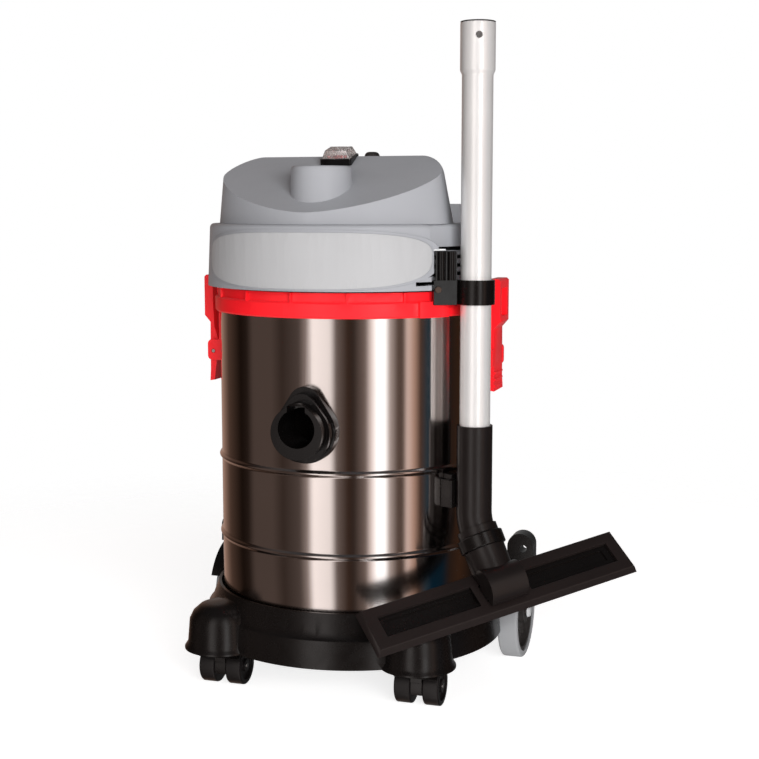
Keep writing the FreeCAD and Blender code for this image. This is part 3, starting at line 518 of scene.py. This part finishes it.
# the front falls away below a sloping plane, out of which the round boss and its link rise
(y_low, z_low), (y_high, z_high) = SLOPE_LOW, SLOPE_HIGH
wedge = [[(x, y_low, z_low), (x, y_high, z_high), (x, y_high, 1200.0), (x, y_low, 1200.0)]
         for x in (-300.0, 300.0)]
cut(cover, cutter("slope", *stack(wedge)))
boss = [(0, 583.0), (38.7, 583.0), (36.2, 637.0), (36.0, 640.0), (35.2, 642.0), (33.6, BOSS_TOP),
        (0, BOSS_TOP)]
cut(cover, cutter("boss", *lathe_mesh(boss, 96, 0.0, BOSS_Y)), "UNION")
cut(cover, cutter("link", *block(-17.0, 17.0, BOSS_Y, BOSS_Y + 55.0, 600.0, BOSS_TOP)), "UNION")
tidy_normals(cover.data, 26.0)
soft_edges(cover, 0.0016, 3, 24)

# ------------------------------------------------------------------ pieces carried over from the CAD
REMODELLED = ("drum", "wand_tube", "upper_cover")
PLAIN_EDGE = 0.0005
EDGE = {
    "inlet_port": 0.0018, "dolly": 0.0012, "tube_saddle": 0.0012, "swivel_ring": 0.0012,
    "front_panel": 0.0010, "latch_left": 0.0010, "latch_right": 0.0010, "latch_brackets": 0.0010,
    "caster_left_hood": 0.0010, "caster_right_hood": 0.0010, "nozzle_neck": 0.0010,
    "nozzle_body": 0.0008, "lower_housing": 0.0008, "switch_frame": 0.0008, "cable_gland": 0.0008,
    "drum_ring": 0.0007,
}
for node in list(frame["nodes"]):
    if node not in REMODELLED:
        carry(node, EDGE.get(node, PLAIN_EDGE))

# painted sheen and painted light: lighter copies of the black plastic, a satin one for the elbow and neck
# and one for the nozzle's lip
SATIN_PAINTED_SHEEN = plastic("black_satin_painted_sheen", (0.0085, 0.0065, 0.0062), 0.33, 0.16, 1100.0, 0.15, spec=0.45)
PAINTED_LIT_LIP = plastic("black_painted_lit_lip", (0.0125, 0.009, 0.0085), 0.38, 0.16, 1100.0, 0.12, spec=0.4)
for node in ("elbow_tube", "nozzle_neck"):
    bpy.data.objects[node + "_skin"].data.materials[0] = SATIN_PAINTED_SHEEN

# the floor nozzle's own axes, from its drop angle, its heading and its roll
neck_az, neck_dip, yaw, roll = (math.radians(d) for d in (60.0, 60.5, 40.4, 35.2))
ELBOW_Z, HINGE_OUT = 220.0, 88.8
# how far the nozzle's recess reaches; faces beyond it get the painted lit lip
LIP_UP, LIP_SIDE, LIP_END = 3.0, 28.0, 168.0
drop = Vector((math.cos(neck_dip) * math.sin(neck_az), -math.cos(neck_dip) * math.cos(neck_az),
               -math.sin(neck_dip)))
hinge = Vector((WX, WY, ELBOW_Z)) + drop * HINGE_OUT
pitch = math.atan(math.sin(neck_az - yaw) / math.tan(neck_dip))
n_long = Vector((math.cos(pitch) * math.cos(yaw), math.cos(pitch) * math.sin(yaw), math.sin(pitch)))
flat = Vector((math.sin(yaw), -math.cos(yaw), 0))
n_up = flat * math.sin(roll) + flat.cross(n_long) * math.cos(roll)
n_wide = n_up.cross(n_long)
# painted light and shade: the nozzle's lip and outer faces get the lighter black, and the recess keeps the
# darker black as painted shade
two_tone(bpy.data.objects["nozzle_body_skin"], PAINTED_LIT_LIP,
         lambda c: (c - hinge).dot(n_up) > LIP_UP or abs((c - hinge).dot(n_wide)) > LIP_SIDE
         or abs((c - hinge).dot(n_long)) > LIP_END)

# the panel's back and rim, within its thickness of the housing's wall, keep the housing's grey
HOUSING_Y, HOUSING_R, HOUSING_DRAFT, HOUSING_Z = -14.0, 178.8, 3.4, 498.4
PANEL_RIM = 2.2
two_tone(bpy.data.objects["front_panel_skin"], MAT["grey_plastic"],
         lambda c: math.hypot(c.x, c.y - HOUSING_Y) < HOUSING_R + PANEL_RIM
         - HOUSING_DRAFT * (c.z - HOUSING_Z) / (SEAM_Z - HOUSING_Z))

# ------------------------------------------------------------------ floor, light
v, f = lathe_mesh([(0, 0), (300, 0), (900, 0), (1600, 0)], 64)
floor_mesh = bpy.data.meshes.new("floor")
floor_mesh.from_pydata([W(*p) for p in v], [], f)
floor = place("floor", floor_mesh)
m, nt, b = nodes_of("floor")
b.inputs["Roughness"].default_value = 0.9
floor_at = coord(nt)
pale = ramp(nt, noise(nt, floor_at, 3.0, 2.0), [(0.3, (0.60, 0.60, 0.60)), (0.7, (0.62, 0.62, 0.62))])
nt.links.new(pale, b.inputs["Base Color"])
b.inputs["Emission Color"].default_value = (1, 1, 1, 1)
b.inputs["Emission Strength"].default_value = 0.78
# fades to nothing towards its rim, so that it runs into the plain surround
grad = nt.nodes.new("ShaderNodeVectorMath")
grad.operation = "LENGTH"
nt.links.new(floor_at, grad.inputs[0])
fade = spread(nt, grad.outputs["Value"], 0.0, 1.0, 0.75, 1.45)
clear = nt.nodes.new("ShaderNodeBsdfTransparent")
mix = nt.nodes.new("ShaderNodeMixShader")
nt.links.new(fade, mix.inputs[0])
nt.links.new(b.outputs[0], mix.inputs[1])
nt.links.new(clear.outputs[0], mix.inputs[2])
out = [n for n in nt.nodes if n.type == "OUTPUT_MATERIAL"][0]
nt.links.new(mix.outputs[0], out.inputs[0])
floor_mesh.materials.append(m)
floor.visible_glossy = False

world = bpy.data.worlds.new("studio")
bpy.context.scene.world = world
world.use_nodes = True
nt = world.node_tree
nt.nodes.clear()
wout = nt.nodes.new("ShaderNodeOutputWorld")
plain = nt.nodes.new("ShaderNodeBackground")
plain.inputs["Color"].default_value = (1, 1, 1, 1)
plain.inputs["Strength"].default_value = 1.0
room = nt.nodes.new("ShaderNodeBackground")
tc = nt.nodes.new("ShaderNodeTexCoord")


def dot(vec):
    """How far the ray's direction goes along a direction."""
    d = nt.nodes.new("ShaderNodeVectorMath")
    d.operation = "DOT_PRODUCT"
    d.inputs[1].default_value = vec
    nt.links.new(tc.outputs["Generated"], d.inputs[0])
    return d.outputs["Value"]


ang = nt.nodes.new("ShaderNodeMath")
ang.operation = "ARCTAN2"
nt.links.new(dot(RIGHT), ang.inputs[0])
nt.links.new(dot(BACK), ang.inputs[1])
turn = spread(nt, ang.outputs[0], 0.0, 1.0, -math.pi, math.pi)


def tone(deg, c):
    """A stop of the surround: degrees round the object from the camera's side, and its colour."""
    return ((deg + 180.0) / 360.0, c)


def grey(v, warm=0.0):
    return (v * (1 + warm), v, v * (1 - 0.4 * warm))


# plain studio surround seen in the metal: soft boxes and dark flags by direction around the object
HALL = [
    tone(-180, grey(0.32)), tone(-160, grey(0.25, 0.6)), tone(-135, grey(0.05, 0.7)),
    tone(-112, grey(0.006, 0.8)), tone(-102, grey(0.014, 0.6)), tone(-94, grey(0.065, 0.4)),
    tone(-73, grey(0.065, 0.4)), tone(-62, grey(0.03, 0.5)), tone(-46, grey(0.07, 0.35)),
    tone(-39, grey(0.28, 0.25)), tone(-34, grey(1.3, 0.08)), tone(-19, grey(1.1, 0.08)),
    tone(-14, grey(0.14, 0.3)), tone(-4, grey(0.024, 0.9)), tone(1, grey(0.026, 0.5)),
    tone(11, grey(0.16, 0.35)), tone(16, grey(1.0, 0.15)), tone(21, grey(1.9)), tone(27, grey(1.9)),
    tone(31, grey(0.5, 0.2)), tone(38, grey(0.09, 0.5)), tone(43, grey(0.05, 0.6)),
    tone(47, grey(0.7, 0.3)), tone(53, grey(0.36, 0.6)), tone(59, grey(0.045, 0.9)),
    tone(66, (0.03, 0.05, 0.065)), tone(72, (0.003, 0.018, 0.035)), tone(84, (0.004, 0.016, 0.028)),
    tone(92, grey(0.015, 0.7)), tone(105, grey(0.02, 1.2)), tone(130, grey(0.006)),
    tone(180, grey(0.32)),
]
hall = ramp(nt, turn, HALL)
up = nt.nodes.new("ShaderNodeSeparateXYZ")
nt.links.new(tc.outputs["Generated"], up.inputs[0])
ceil = nt.nodes.new("ShaderNodeMix")
ceil.data_type = "RGBA"
nt.links.new(spread(nt, up.outputs["Z"], 0.0, 1.0, 0.55, 0.85), ceil.inputs[0])
nt.links.new(hall, ceil.inputs["A"])
ceil.inputs["B"].default_value = (0.05, 0.05, 0.052, 1)
nt.links.new(ceil.outputs["Result"], room.inputs["Color"])
room.inputs["Strength"].default_value = 1.0
path = nt.nodes.new("ShaderNodeLightPath")
wmix = nt.nodes.new("ShaderNodeMixShader")
nt.links.new(path.outputs["Is Camera Ray"], wmix.inputs[0])
nt.links.new(room.outputs[0], wmix.inputs[1])
nt.links.new(plain.outputs[0], wmix.inputs[2])
nt.links.new(wmix.outputs[0], wout.inputs[0])


AIM = (0, 0, 380)


def area(name, rel_deg, dist, height, size, power, tall=None):
    """A soft light in metres and watts, turned from the camera's side, that isn't seen in gloss."""
    d = bpy.data.lights.new(name, "AREA")
    d.energy = power
    d.shape = "RECTANGLE"
    d.size = size
    d.size_y = tall or size
    o = place(name, d)
    a = math.radians(rel_deg)
    o.location = W(0, 0, 0) + (BACK * math.cos(a) + RIGHT * math.sin(a)) * dist
    o.location.z = height
    o.rotation_euler = (W(*AIM) - o.location).to_track_quat("-Z", "Y").to_euler()
    o.visible_glossy = False


area("key", 16, 2.6, 0.85, 1.5, 62.0, tall=1.0)
area("side", -62, 2.3, 0.9, 0.9, 6.0)
area("top", 0, 1.0, 2.2, 1.2, 3.0)
area("rim", 165, 2.2, 1.6, 1.2, 6.0)
